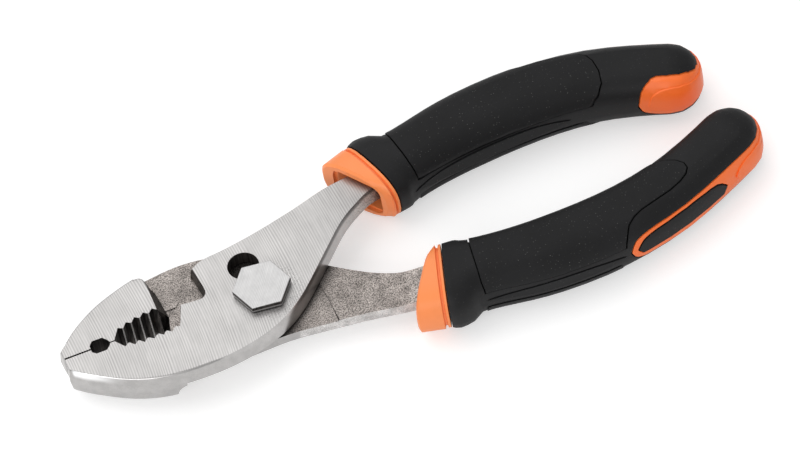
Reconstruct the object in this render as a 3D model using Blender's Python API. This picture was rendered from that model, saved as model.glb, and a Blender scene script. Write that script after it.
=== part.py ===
# Slip joint pliers with two-material grips, built in Blender
# The origin is on the pivot axis, in the plane that the closed tool rests on.
# +X runs to the handles, +Y to the slotted half's handle, +Z up through the bolt head.
import math

import bmesh
import bpy
from mathutils import Vector

MM = 0.001
GAP = 0.3 * MM
BEYOND = 60.0 * MM

# Pivot bolt and nut
HEAD_ACROSS_FLATS = 12.0 * MM
HEAD_HEIGHT = 1.7 * MM
HEAD_CHAMFER = 0.25 * MM
HEAD_TURN = math.radians(-7.5)
SHANK_RADIUS = 3.45 * MM
SHANK_FLATS = 5.6 * MM
NUT_ACROSS_FLATS = HEAD_ACROSS_FLATS
NUT_HEIGHT = 3.3 * MM
NUT_CHAMFER = 0.5 * MM
JOURNAL_CHAMFER = 0.4 * MM

# Forged halves
JAW_THICKNESS = 8.2 * MM
DRAFT = 0.7 * MM
LAP_WALL = 24.2 * MM
RAMP_START = 30.0 * MM
RAMP_END = 38.0 * MM
RAMP_RISE = 2.0 * MM
SLIP_TRAVEL = 8.3 * MM
SLIP_ANGLE = math.radians(102.9)
TANG_THICKNESS = 5.0 * MM
TANG_WIDTH = 7.0 * MM
TANG_END = 92.0 * MM
RECESS_DEPTH = 0.35 * MM
RECESS_END = 13.6 * MM
PAD_HEIGHT = 0.25 * MM
CORNER_STEP = 0.03 * MM

# Gripping faces of the jaws
JAW_LINE = 0.95 * MM
TIP_START = -48.2 * MM
TIP_END = -41.8 * MM
TIP_TOOTH_PITCH = 0.59 * MM
TIP_TOOTH_DEPTH = 0.12 * MM
OVAL_END = -37.5 * MM
OVAL_CORNER = 0.9 * MM
OVAL_DEPTH_SLOTTED = 1.5 * MM
OVAL_DEPTH_PLAIN = 1.9 * MM
BITE_START = -36.0 * MM
TOOTH_PITCH = 2.25 * MM
TOOTH_DEPTH = 1.0 * MM
TOOTH_COUNT = 6
SLOTTED_BITE_DEEPEST = -26.5 * MM
SLOTTED_BITE_DEPTH = 2.3 * MM
SLOTTED_BITE_BOW = 0.015
PLAIN_BITE_DEEPEST = -23.5 * MM
PLAIN_BITE_DEPTH = 3.8 * MM
PLAIN_BITE_BOW = 0.0165

# Grips, in the handle's own axes
GRIP_TURN = math.radians(5.5)
GRIP_SHIFT_X = -3.5 * MM
GRIP_SHIFT_Y = 3.0 * MM
REACH_FROM = 96.0 * MM
UPPER_REACH = 0.4 * MM
LOWER_REACH = 1.8 * MM
UPPER_LIFT = 0.3 * MM
UPPER_SAG = 0.4 * MM
SAG_FROM = 50.0 * MM
GRIP_SKIN = 2.6 * MM
PANEL_RISE = 0.2 * MM
PAD_DEPTH = 1.3 * MM
PANEL_FLOOR = 2.8 * MM
END_PAD_RISE = 0.3 * MM
GUARD_TILT = math.radians(31.0)
COLLAR_TILT = math.radians(15.0)
COLLAR_BLEND = 13.0 * MM
MOUTH_HALF_WIDTH = 5.8 * MM
MOUTH_HALF_HEIGHT = 4.7 * MM
MOUTH_TAPER = 0.88
MOUTH_SLOPE = math.radians(2.5)
TANG_LEAD = 2.0 * MM
MOUTH_START = 29.0 * MM
MOUTH_END = 43.0 * MM
SECTION_POWER = 2.7
SECTION_POINTS = 24

# Levels
JAW_BASE = NUT_HEIGHT + GAP
MIDDLE = JAW_BASE + JAW_THICKNESS / 2
JAW_TOP = JAW_BASE + JAW_THICKNESS
HALF_JAW = JAW_THICKNESS / 2
GRIP_HALF_HEIGHT = MIDDLE - PANEL_RISE


def mm(points):
    """Points written in millimetres, in metres."""
    return [tuple(value * MM for value in point) for point in points]


# Outer edges of the forged halves on their ground faces
SLOTTED_OUTER_EDGE = mm([
    (-48.0, -2.3), (-44.2, -5.5), (-36.2, -10.6), (-28.0, -13.4), (-18.0, -14.2), (-8.0, -13.2),
    (0.5, -10.4), (7.1, -6.0), (14.9, 1.8), (22.9, 10.1), (29.4, 14.5), (33.4, 16.4), (36.2, 17.6)])
SLOTTED_INNER_EDGE = mm([
    (35.4, 23.1), (32.0, 22.2), (28.0, 21.5), (21.8, 20.5), (14.0, 18.2), (4.0, 15.8), (-4.0, 14.4),
    (-10.0, 13.7), (-13.0, 12.3)])
NOTCH_EDGE = mm([
    (-12.9, 12.0), (-12.4, 8.0), (-12.2, 5.2), (-12.9, 3.9), (-14.2, 3.5), (-18.7, 3.9)])
PLAIN_OUTER_EDGE = mm([
    (-48.2, 3.4), (-44.0, 7.5), (-38.0, 11.4), (-32.0, 13.9), (-26.5, 15.5), (-21.0, 16.4), (-15.0, 16.8),
    (-9.0, 16.1), (-2.0, 14.2), (6.0, 10.2), (12.0, 5.7), (18.5, 0.5), (24.8, -3.9), (31.0, -6.9),
    (36.8, -8.6), (40.4, -9.6)])
PLAIN_INNER_EDGE = mm([
    (39.8, -16.4), (35.0, -15.6), (28.0, -14.4), (20.7, -13.0), (11.2, -11.7), (2.0, -10.7), (-8.0, -10.9),
    (-16.0, -10.8), (-20.4, -7.6), (-22.0, -2.0), (-22.0, 1.5)])

# Rounding of the plain half's jaw above the lap, and the low raised pad on the lap face
JAW_CORNER = mm([
    (-26.4, 15.46), (-25.5, 15.4), (-24.9, 15.15), (-24.45, 14.6), (-24.25, 13.9), (-24.1, 12.6), (-23.0, 12.6),
    (-23.0, 18.5), (-26.4, 18.5)])
LAP_PAD = mm([(-24.5, 6.6), (-19.6, 6.6), (-18.6, 7.6), (-18.9, 12.0), (-20.2, 12.6), (-24.5, 12.4)])

# Grip centre line and half widths, from the collar to the middle of the rounded end.
# The guard's rings add their tilt and half height, and run from its flared mouth through the second lip.
GRIP_STATIONS = mm([
    (39.8, 14.3, 9.7), (41.5, 14.8, 10.1), (44.0, 14.7, 9.5), (46.5, 14.4, 7.9), (52.0, 15.1, 7.7),
    (58.0, 15.9, 8.0), (65.0, 16.4, 8.3), (75.0, 16.3, 8.4), (85.0, 15.2, 8.2), (95.0, 12.8, 7.9),
    (104.0, 8.8, 7.65), (111.6, 4.6, 7.5)])
GUARD_STATIONS = [
    (34.5, 13.6, GUARD_TILT, 8.9, 6.6), (35.1, 13.7, GUARD_TILT, 9.7, 7.2), (37.7, 14.0, COLLAR_TILT, 9.8, 7.3),
    (37.9, 14.0, COLLAR_TILT, 9.1, 6.6), (38.3, 14.1, COLLAR_TILT, 9.1, 6.6), (38.5, 14.1, COLLAR_TILT, 9.7, 7.2),
    (39.5, 14.2, COLLAR_TILT, 9.7, 7.2)]
LONG_PANEL = mm([
    (48.2, 7.2), (47.2, 14.0), (47.6, 27.0), (60.0, 29.0), (74.0, 29.0), (79.5, 22.8), (84.0, 21.4), (90.0, 19.6),
    (95.0, 17.4), (96.9, 13.5), (96.0, 7.2), (91.4, 5.3), (80.0, 7.2), (65.0, 8.2), (55.0, 7.8)])
SWEPT_PANEL = mm([
    (48.2, 7.2), (47.2, 14.0), (47.6, 27.0), (60.0, 28.5), (72.0, 28.5), (79.5, 25.2), (82.8, 20.8),
    (87.0, 18.3), (95.0, 16.0), (99.8, 13.4), (100.4, 10.6), (96.5, 7.6), (90.0, 5.8), (80.0, 7.2),
    (65.0, 8.2), (55.0, 7.8)])
INNER_STRIP = mm([(47.0, 0.0), (53.5, 1.4), (64.0, 2.0), (78.0, 1.7), (86.5, 0.0)])
OUTER_STRIP = mm([(47.0, 0.0), (56.0, 1.0), (65.0, 1.4), (73.0, 1.1), (80.0, 0.0)])
OUTER_WINDOW = mm([(81.5, 0.0), (83.0, 3.0), (87.0, 4.3), (98.0, 4.6), (107.0, 4.7), (115.0, 4.6), (126.0, 4.4)])
INNER_WINDOW = mm([(102.0, 0.0), (103.2, 4.4), (106.5, 6.7), (111.0, 6.9), (114.6, 6.3), (117.3, 5.1),
                   (119.2, 4.6), (121.0, 4.5), (127.0, 4.4)])
INSET_OUTLINE = mm([(83.6, 0.0), (85.2, 2.2), (89.0, 3.2), (99.0, 3.5), (106.0, 2.8), (108.5, 0.0)])
INNER_WINDOW_LOWER = 0.6
INSET_FROM = 10.0 * MM
STRIP_SPLIT = GRIP_STATIONS[5][1]
INNER_END_PAD = mm([(104.2, 0.0), (105.4, 3.3), (108.3, 4.9), (112.0, 4.9), (116.0, 4.1), (120.0, 3.3), (127.0, 3.0)])
OUTER_END_PAD = mm([(111.5, 0.0), (112.6, 1.9), (115.5, 2.9), (120.0, 3.0), (127.0, 3.0)])


def new_collection(name):
    collection = bpy.data.collections.new(name)
    bpy.context.scene.collection.children.link(collection)
    return collection


def smooth_line(points, steps):
    """A smooth curve through the points, with a few steps between each pair."""
    points = [Vector(point) for point in points]
    line = [points[0]]
    for i in range(len(points) - 1):
        before = points[max(i - 1, 0)]
        start = points[i]
        end = points[i + 1]
        after = points[min(i + 2, len(points) - 1)]
        leave = (end - before) / 2
        arrive = (after - start) / 2
        for step in range(1, steps + 1):
            t = step / steps
            line.append(start * (2 * t**3 - 3 * t**2 + 1) + leave * (t**3 - 2 * t**2 + t)
                        + end * (3 * t**2 - 2 * t**3) + arrive * (t**3 - t**2))
    return line


def link_mesh(name, bm, collection, smooth_angle=None):
    mesh = bpy.data.meshes.new(name)
    bmesh.ops.recalc_face_normals(bm, faces=bm.faces)
    bm.to_mesh(mesh)
    bm.free()
    if smooth_angle:
        mesh.shade_smooth()
        mesh.set_sharp_from_angle(angle=math.radians(smooth_angle))
    obj = bpy.data.objects.new(name, mesh)
    collection.objects.link(obj)
    return obj


def loft(name, rings, collection, smooth_angle=None, split=False):
    """A closed solid through rings of equally many points, capped at both ends."""
    bm = bmesh.new()
    loops = [[bm.verts.new(point) for point in ring] for ring in rings]
    count = len(loops[0])
    for low, high in zip(loops, loops[1:]):
        for i in range(count):
            j = (i + 1) % count
            bm.faces.new((low[i], low[j], high[j], high[i]))
    if split:
        bmesh.ops.triangulate(bm, faces=bm.faces)
    bm.faces.new(loops[0])
    bm.faces.new(loops[-1])
    return link_mesh(name, bm, collection, smooth_angle)


def prism(name, outline, low, high, collection, axis="Z"):
    """A straight solid over a closed outline. Along Y, the outline's second value is a height."""
    rings = []
    for level in (low, high):
        if axis == "Z":
            rings.append([Vector((a, b, level)) for a, b in outline])
        else:
            rings.append([Vector((a, level, b)) for a, b in outline])
    return loft(name, rings, collection)


def grown(outline, distance):
    """The closed outline moved outwards by a distance, whichever way round it runs."""
    points = [Vector(point[:2]) for point in outline]
    count = len(points)
    area = sum(points[i].x * points[(i + 1) % count].y - points[(i + 1) % count].x * points[i].y
               for i in range(count))
    turn = 1 if area > 0 else -1
    moved = []
    for i, point in enumerate(points):
        before = (point - points[i - 1]).normalized()
        after = (points[(i + 1) % count] - point).normalized()
        along = (before + after).normalized()
        spread = max(along.dot(after), 0.5)
        moved.append(point + Vector((along.y, -along.x)) * turn * distance / spread)
    return moved


def boolean(target, tool, operation, name):
    modifier = target.modifiers.new(name, "BOOLEAN")
    modifier.operation = operation
    modifier.solver = "EXACT"
    modifier.object = tool
    tool.hide_render = True
    tool.display_type = "WIRE"
    return modifier


def set_material(obj, colour, roughness, metallic):
    material = bpy.data.materials.new(obj.name)
    material.use_nodes = True
    shader = material.node_tree.nodes["Principled BSDF"]
    shader.inputs["Base Color"].default_value = (*colour, 1.0)
    shader.inputs["Roughness"].default_value = roughness
    shader.inputs["Metallic"].default_value = metallic
    obj.data.materials.clear()
    obj.data.materials.append(material)


STEEL = ((0.56, 0.55, 0.53), 0.38, 1.0)
BOLT_STEEL = ((0.62, 0.61, 0.60), 0.32, 1.0)
ORANGE = ((0.95, 0.19, 0.03), 0.42, 0.0)
BLACK = ((0.014, 0.015, 0.016), 0.75, 0.0)


# Jaw profiles

def tip_teeth(level, depth_sign):
    """Fine teeth of the nose, from the tip towards the oval grip."""
    count = round((TIP_END - TIP_START) / TIP_TOOTH_PITCH)
    pitch = (TIP_END - TIP_START) / count
    points = []
    for i in range(count):
        points.append((TIP_START + pitch * i, level))
        points.append((TIP_START + pitch * (i + 0.5), level + depth_sign * TIP_TOOTH_DEPTH))
    points.append((TIP_END, level))
    return points


def oval_grip(level, depth, depth_sign):
    """One side of the small oval grip behind the nose."""
    floor = level + depth_sign * depth
    side = level + depth_sign * depth * 0.45
    return [
        (TIP_END, side), (TIP_END + OVAL_CORNER, floor),
        (OVAL_END - OVAL_CORNER, floor), (OVAL_END, side), (OVAL_END + OVAL_CORNER / 2, level)]


def bite_depth(x, deepest, depth, bow):
    """Distance of the tooth crests from the jaw line, along a shallow arc."""
    return depth - bow * (x - deepest)**2 / MM


def pipe_teeth(level, depth_sign, deepest, depth, bow, count):
    """Coarse teeth of the pipe grip: valleys and crests that follow a shallow arc."""
    points = [(BITE_START, level)]
    for i in range(count):
        valley = BITE_START + TOOTH_PITCH * (i + 0.8)
        crest = valley + TOOTH_PITCH / 2
        points.append((valley, level + depth_sign * (bite_depth(valley, deepest, depth, bow) + TOOTH_DEPTH)))
        points.append((crest, level + depth_sign * bite_depth(crest, deepest, depth, bow)))
    return points


def jaw_profile(side, teeth):
    """The gripping face of one half, from the tip to the last tooth. side is -1 for the slotted half."""
    level = JAW_LINE + side * GAP / 2
    if side < 0:
        bite = pipe_teeth(level, side, SLOTTED_BITE_DEEPEST, SLOTTED_BITE_DEPTH, SLOTTED_BITE_BOW, teeth)
        oval = oval_grip(level, OVAL_DEPTH_SLOTTED, side)
    else:
        bite = pipe_teeth(level, side, PLAIN_BITE_DEEPEST, PLAIN_BITE_DEPTH, PLAIN_BITE_BOW, teeth)
        oval = oval_grip(level, OVAL_DEPTH_PLAIN, side)
    return tip_teeth(level, side) + oval + bite


# Forged halves

def drafted_blank(name, outline, drafted, collection):
    """A forging: the outline at both ground faces, swelling to the parting line where drafted."""
    swollen = grown(outline, 1.0)
    rings = []
    for height, share in ((-1.0, 0.0), (-0.8, 0.5), (0.0, 1.0), (0.8, 0.5), (1.0, 0.0)):
        ring = []
        for point, far, on in zip(outline, swollen, drafted):
            out = (far - Vector(point[:2])) * DRAFT * share * on
            ring.append(Vector((point[0] + out.x, point[1] + out.y, MIDDLE + height * HALF_JAW)))
        rings.append(ring)
    return loft(name, rings, collection, smooth_angle=30, split=True)


def lap_cutter(name, side, collection):
    """Takes away half the thickness from the lap wall back, with a ramp under the handle end."""
    face = side * GAP / 2
    beyond = -side * (HALF_JAW + 2 * MM)
    profile = [
        (-LAP_WALL, beyond), (-LAP_WALL, face), (RAMP_START, face)]
    for step in range(1, 6):
        t = step / 6
        profile.append((RAMP_START + (RAMP_END - RAMP_START) * t, face - side * RAMP_RISE * (3 * t**2 - 2 * t**3)))
    profile += [(RAMP_END, face - side * RAMP_RISE), (BEYOND, face - side * RAMP_RISE), (BEYOND, beyond)]
    profile = [(x, MIDDLE + z) for x, z in profile]
    return prism(name, profile, -BEYOND, BEYOND, collection, axis="Y")


def slot_outline(radius, neck):
    """Figure-eight opening: two round seats joined by a narrower neck."""
    half_neck = neck / 2
    reach = math.sqrt(radius**2 - half_neck**2)
    meet = math.atan2(half_neck, reach)
    along = Vector((math.cos(SLIP_ANGLE), math.sin(SLIP_ANGLE)))
    across = Vector((-along.y, along.x))
    points = []
    for centre, start in ((Vector((0, 0)), meet), (along * SLIP_TRAVEL, meet + math.pi)):
        steps = 20
        for step in range(steps + 1):
            angle = start + (2 * math.pi - 2 * meet) * step / steps
            points.append(centre + along * radius * math.cos(angle) + across * radius * math.sin(angle))
    return points


def flatted_outline(radius, flats):
    """Round shank with two flats that lie along the slot."""
    half_flat = flats / 2
    cut = math.asin(half_flat / radius)
    along = Vector((math.cos(SLIP_ANGLE), math.sin(SLIP_ANGLE)))
    across = Vector((-along.y, along.x))
    points = []
    for start in (-cut, math.pi - cut):
        for step in range(7):
            angle = start + 2 * cut * step / 6
            points.append(along * radius * math.cos(angle) + across * radius * math.sin(angle))
    return points


def circle(radius, count, turn=0.0):
    return [(radius * math.cos(turn + 2 * math.pi * i / count), radius * math.sin(turn + 2 * math.pi * i / count))
            for i in range(count)]


def tang(name, collection, growth=0.0):
    """The flat tail that each half drives into its grip, in the handle's own axes."""
    line = smooth_line([station for station in GRIP_STATIONS if station[0] < TANG_END], 2)
    left = []
    right = []
    for i, point in enumerate(line):
        ahead = line[min(i + 1, len(line) - 1)] - line[max(i - 1, 0)]
        side = Vector((-ahead.y, ahead.x)).normalized()
        half = (TANG_WIDTH / 2 + growth) * (1 - 0.25 * i / len(line))
        left.append(Vector((point.x, point.y)) + side * half)
        right.append(Vector((point.x, point.y)) - side * half)
    lead = Vector((TANG_LEAD + growth, 0))
    left[0] -= lead
    right[0] -= lead
    half_thickness = TANG_THICKNESS / 2 + growth
    return prism(name, left + right[::-1], -half_thickness, half_thickness, collection)


def slotted_half(parts, cutters, grip_seat):
    outer = smooth_line(SLOTTED_OUTER_EDGE, 4)
    inner = smooth_line(SLOTTED_INNER_EDGE, 3)
    notch = smooth_line(NOTCH_EDGE, 2)
    jaw = jaw_profile(-1, TOOTH_COUNT)
    heel = mm([(-20.9, -1.6), (-20.4, -0.8)])
    outline = outer + inner + notch + heel[::-1] + jaw[::-1]
    drafted = [1.0] * len(outer + inner) + [0.8] * len(notch) + [0.0] * len(heel + jaw)
    obj = drafted_blank("slotted_half", [tuple(point[:2]) for point in outline], drafted, parts)
    boolean(obj, lap_cutter("slotted_lap", 1, cutters), "DIFFERENCE", "lap")
    slot = prism("slot", slot_outline(SHANK_RADIUS + GAP, SHANK_FLATS + 2 * GAP), 0, 20 * MM, cutters)
    boolean(obj, slot, "DIFFERENCE", "slot")
    tail = tang("slotted_tang", cutters)
    tail.parent = grip_seat
    boolean(obj, tail, "UNION", "tang")
    set_material(obj, *STEEL)
    return obj


def plain_half(parts, cutters, grip_seat):
    outer = smooth_line(PLAIN_OUTER_EDGE, 4)
    inner = smooth_line(PLAIN_INNER_EDGE, 4)
    jaw = jaw_profile(1, TOOTH_COUNT - 1)
    outline = jaw + inner[::-1] + outer[::-1]
    drafted = [0.0] * len(jaw) + [1.0] * len(inner) + [1.0] * len(outer)
    obj = drafted_blank("plain_half", [tuple(point[:2]) for point in outline], drafted, parts)
    boolean(obj, lap_cutter("plain_lap", -1, cutters), "DIFFERENCE", "lap")
    corner = prism("jaw_corner", JAW_CORNER, MIDDLE - GAP / 2 + CORNER_STEP, 20 * MM, cutters)
    boolean(obj, corner, "DIFFERENCE", "jaw corner")
    bore = prism("pivot_bore", circle(SHANK_RADIUS + GAP, 40), 0, 20 * MM, cutters)
    boolean(obj, bore, "DIFFERENCE", "bore")
    recess_outline = [(1 * MM, -5 * MM), (RECESS_END - 0.9 * MM, 3 * MM), (RECESS_END - 0.6 * MM, 0),
                      (RECESS_END, -7 * MM), (RECESS_END, -16 * MM), (-6 * MM, -16 * MM)]
    recess = prism("lap_recess", recess_outline, MIDDLE - GAP / 2 - RECESS_DEPTH, 20 * MM, cutters)
    boolean(obj, recess, "DIFFERENCE", "recess")
    pad = prism("lap_pad", LAP_PAD, MIDDLE - 1 * MM, MIDDLE - GAP / 2 + PAD_HEIGHT, cutters)
    boolean(obj, pad, "UNION", "pad")
    tail = tang("plain_tang", cutters)
    tail.parent = grip_seat
    boolean(obj, tail, "UNION", "tang")
    set_material(obj, *STEEL)
    return obj


# Pivot bolt and nut

def hexagon(across_flats, levels):
    """Rings of a six-sided prism, one for each height and the amount its corners are cut back there."""
    corner = across_flats / math.sqrt(3)
    return [[Vector((x, y, level)) for x, y in circle(corner - trim, 6, HEAD_TURN)] for level, trim in levels]


def pivot_bolt(parts, cutters):
    """Hexagon head, flatted shank through the slot and round journal down to the resting plane."""
    low = JAW_TOP + GAP
    high = low + HEAD_HEIGHT
    rings = hexagon(HEAD_ACROSS_FLATS, (
        (low, HEAD_CHAMFER), (low + HEAD_CHAMFER, 0.0), (high - HEAD_CHAMFER, 0.0), (high, HEAD_CHAMFER)))
    bolt = loft("pivot_bolt", rings, parts)
    flatted = prism("flatted_shank", flatted_outline(SHANK_RADIUS, SHANK_FLATS), MIDDLE - 0.2 * MM,
                    low + HEAD_HEIGHT / 2, cutters)
    boolean(bolt, flatted, "UNION", "shank")
    rings = [[Vector((x, y, level)) for x, y in circle(SHANK_RADIUS - trim, 32)]
             for level, trim in ((0, JOURNAL_CHAMFER), (JOURNAL_CHAMFER, 0.0), (MIDDLE - GAP / 2, 0.0))]
    journal = loft("round_journal", rings, cutters)
    boolean(bolt, journal, "UNION", "journal")
    set_material(bolt, *BOLT_STEEL)
    return bolt


def pivot_nut(parts, cutters):
    """Six-sided nut on the journal, under the plain half."""
    rings = hexagon(NUT_ACROSS_FLATS, ((0, NUT_CHAMFER), (NUT_CHAMFER, 0.0), (NUT_HEIGHT, 0.0)))
    obj = loft("pivot_nut", rings, parts)
    bore = prism("nut_bore", circle(SHANK_RADIUS + GAP, 32), -1 * MM, NUT_HEIGHT + 1 * MM, cutters)
    boolean(obj, bore, "DIFFERENCE", "bore")
    set_material(obj, *BOLT_STEEL)
    return obj


# Grips

def section(centre, tilt, half_width, half_height):
    """One cross-section of the grip: a rounded rectangle square to the handle, turned by tilt."""
    across = Vector((-math.sin(tilt), math.cos(tilt), 0))
    up = Vector((0, 0, 1))
    flat = math.cos(math.pi / SECTION_POINTS)**(2 / SECTION_POWER)
    ring = []
    for i in range(SECTION_POINTS):
        angle = 2 * math.pi * (i + 0.5) / SECTION_POINTS
        cosine = math.cos(angle)
        sine = math.sin(angle)
        out = half_width / flat * math.copysign(abs(cosine)**(2 / SECTION_POWER), cosine)
        rise = half_height / flat * math.copysign(abs(sine)**(2 / SECTION_POWER), sine)
        ring.append(Vector((centre[0], centre[1], 0)) + across * out + up * rise)
    return ring


def grip_line(name, steps):
    """The centre line and half widths of the grip that the named piece belongs to."""
    is_lower = name.startswith("lower")
    reach = LOWER_REACH if is_lower else UPPER_REACH
    sag = 0 if is_lower else UPPER_SAG
    lift = 0 if is_lower else UPPER_LIFT
    end = GRIP_STATIONS[-1][0]
    stations = []
    for u, w, half in GRIP_STATIONS:
        past = max(u - REACH_FROM, 0) / (end - REACH_FROM)
        along = min(max((u - SAG_FROM) / (end - SAG_FROM), 0), 1)
        stations.append((u + reach * past, w + lift * past - sag * math.sin(math.pi * along), half))
    return smooth_line(stations, steps)


def grip_form(name, growth, collection, overhang=0.0, fine=True):
    """The grip's outer form, grown or shrunk evenly, from the collar face to the rounded end."""
    line = grip_line(name, 2 if fine else 1)
    rings = []
    for i, station in enumerate(line):
        ahead = line[min(i + 1, len(line) - 1)] - line[max(i - 1, 0)]
        past_collar = min((station.x - line[0].x) / COLLAR_BLEND, 1)
        tilt = COLLAR_TILT + (math.atan2(ahead.y, ahead.x) - COLLAR_TILT) * past_collar
        rings.append(section(station, tilt, station[2] + growth, GRIP_HALF_HEIGHT + growth))
    end = line[-1]
    before = line[-2]
    heading = Vector((end.x - before.x, end.y - before.y)).normalized()
    tilt = math.atan2(heading.y, heading.x)
    for angle in (22, 42, 58, 71, 81) if fine else (35, 68):
        turn = math.radians(angle)
        centre = Vector((end.x, end.y)) + heading * (end.z + growth) * math.sin(turn)
        rings.append(section(centre, tilt, (end.z + growth) * math.cos(turn),
                             (GRIP_HALF_HEIGHT + growth) * math.cos(turn)**0.55))
    if overhang:
        first = line[0]
        ahead = line[1] - line[0]
        heading = Vector((ahead.x, ahead.y)).normalized()
        centre = Vector((first.x, first.y)) - heading * overhang
        rings.insert(0, section(centre, COLLAR_TILT, first.z + growth, GRIP_HALF_HEIGHT + growth))
    return loft(name, rings, collection, smooth_angle=40)


def band(name, half_outline, growth, low, high, collection, lower=1.0):
    """A prism across the handle. lower is the height below the middle as a share of that above it."""
    upper = smooth_line(half_outline, 3)
    outline = [(p.x, p.y) for p in upper]
    outline += [(p.x, -p.y * lower) for p in reversed(upper) if p.y > 0.01 * MM]
    if growth:
        outline = grown(outline, growth)
    return prism(name, outline, low, high, collection, axis="Y")


def side_block(name, side, collection):
    """All that lies on one side of the grip's centre line, and a little past it. side is 1 for the outer side."""
    line = grip_line(name, 1)
    heading = (line[-1] - line[-2]).normalized()
    tip = line[-1] + heading * 20 * MM
    far = side * BEYOND
    past = side * GAP
    outline = [(point.x, point.y - past) for point in line]
    outline += [(tip.x, tip.y - past), (tip.x + BEYOND, tip.y - past), (tip.x + BEYOND, far), (line[0].x, far)]
    return prism(name, outline, -BEYOND / 2, BEYOND / 2, collection)


def grip_window(name, growth, collection):
    """Where the core shows: along the outer side, round the end and a little up the inner side."""
    window = band(name, OUTER_WINDOW, growth, -BEYOND * 0.8, BEYOND * 0.8, collection)
    boolean(window, side_block(name + "_outer_side", 1, collection), "INTERSECT", "outer side")
    inner = band(name + "_inner", INNER_WINDOW, growth, -BEYOND * 0.7, BEYOND * 0.7, collection, INNER_WINDOW_LOWER)
    boolean(inner, side_block(name + "_inner_side", -1, collection), "INTERSECT", "inner side")
    boolean(window, inner, "UNION", "inner window")
    return window


def end_pad(name, collection):
    """Low raised pad of the core on both sides of the handle's rounded end."""
    pad = grip_form(name, END_PAD_RISE, collection)
    edge = band(name + "_outer", OUTER_END_PAD, 0.0, -BEYOND * 0.8, BEYOND * 0.8, collection)
    boolean(edge, side_block(name + "_outer_side", 1, collection), "INTERSECT", "outer side")
    inner = band(name + "_inner", INNER_END_PAD, 0.0, -BEYOND * 0.7, BEYOND * 0.7, collection, INNER_WINDOW_LOWER)
    boolean(inner, side_block(name + "_inner_side", -1, collection), "INTERSECT", "inner side")
    boolean(edge, inner, "UNION", "inner edge")
    boolean(pad, edge, "INTERSECT", "edge")
    return pad


def core_sleeve(name, parts, cutters):
    """Hard inner sleeve with its flared guard, second lip and the windows that show at the end."""
    obj = grip_form(name, -GRIP_SKIN - GAP, parts, overhang=0.8 * MM, fine=False)
    guard_rings = [section((u * MM, w * MM), tilt, half_width * MM, half_height * MM)
                   for u, w, tilt, half_width, half_height in GUARD_STATIONS]
    guard = loft(name + "_guard", guard_rings, cutters, smooth_angle=40)
    boss = grip_form(name + "_boss", 0.0, cutters)
    boolean(boss, grip_window(name + "_window", -GAP, cutters), "INTERSECT", "window")
    tail = tang(name + "_tang_pocket", cutters, GAP)
    mouth_rings = []
    for u, share in ((MOUTH_START, 1.0), (MOUTH_END, MOUTH_TAPER)):
        middle = 12.6 * MM + (u - MOUTH_START) * math.tan(MOUTH_SLOPE)
        mouth_rings.append([
            Vector((u, middle + a * share * MOUTH_HALF_WIDTH, b * share * MOUTH_HALF_HEIGHT))
            for a, b in ((-1, -1), (1, -1), (1, 1), (-1, 1))])
    mouth = loft(name + "_mouth", mouth_rings, cutters)
    inset_pocket = band(name + "_inset_pocket", INSET_OUTLINE, GAP, INSET_FROM, BEYOND, cutters)
    boolean(inset_pocket, grip_form(name + "_inset_floor", -PAD_DEPTH - GAP, cutters), "DIFFERENCE", "floor")
    boolean(obj, guard, "UNION", "guard")
    boolean(obj, boss, "UNION", "boss")
    boolean(obj, end_pad(name + "_end_pad", cutters), "UNION", "end pad")
    boolean(obj, inset_pocket, "DIFFERENCE", "inset pocket")
    boolean(obj, mouth, "DIFFERENCE", "mouth")
    boolean(obj, tail, "DIFFERENCE", "tang pocket")
    set_material(obj, *ORANGE)
    return obj


def grip_sleeve(name, parts, cutters):
    """Soft black sleeve over the core, open where the core shows and pocketed for the pads."""
    obj = grip_form(name, 0.0, parts)
    cavity = grip_form(name + "_cavity", -GRIP_SKIN, cutters, overhang=6 * MM, fine=False)
    boolean(obj, cavity, "DIFFERENCE", "cavity")
    for label, edge in pad_edges(name, GAP, cutters):
        floor = grip_form(name + label + "_floor", -PAD_DEPTH - GAP, cutters)
        boolean(edge, floor, "DIFFERENCE", "floor")
        boolean(obj, edge, "DIFFERENCE", label)
    boolean(obj, grip_window(name + "_window", 0.0, cutters), "DIFFERENCE", "window")
    set_material(obj, *BLACK)
    return obj


def pad_edges(name, growth, cutters):
    """The straight walls that bound the pads of one sleeve, each with its label."""
    reach = GRIP_HALF_HEIGHT + 5 * MM
    return [
        ("_long_panel", panel_prism(name + "_long_edge", LONG_PANEL, growth, PANEL_FLOOR - growth, reach, cutters)),
        ("_swept_panel", panel_prism(name + "_swept_edge", SWEPT_PANEL, growth, -reach, growth - PANEL_FLOOR,
                                     cutters)),
        ("_inner_strip", band(name + "_inner_edge", INNER_STRIP, growth, -BEYOND, STRIP_SPLIT - GAP, cutters)),
        ("_outer_strip", band(name + "_outer_edge", OUTER_STRIP, growth, STRIP_SPLIT, BEYOND, cutters))]


def panel_prism(name, outline, growth, low, high, collection):
    outline = [tuple(p) for p in smooth_line(outline + outline[:1], 2)[:-1]]
    if growth:
        outline = [tuple(p) for p in grown(outline, growth)]
    return prism(name, outline, low, high, collection)


def soft_pad(name, edge, parts, cutters):
    """Pad let into the sleeve or the window, standing a little proud."""
    obj = grip_form(name, PANEL_RISE, parts)
    boolean(obj, grip_form(name + "_back", -PAD_DEPTH, cutters), "DIFFERENCE", "back")
    boolean(obj, edge, "INTERSECT", "edge")
    set_material(obj, *BLACK)
    return obj


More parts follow.
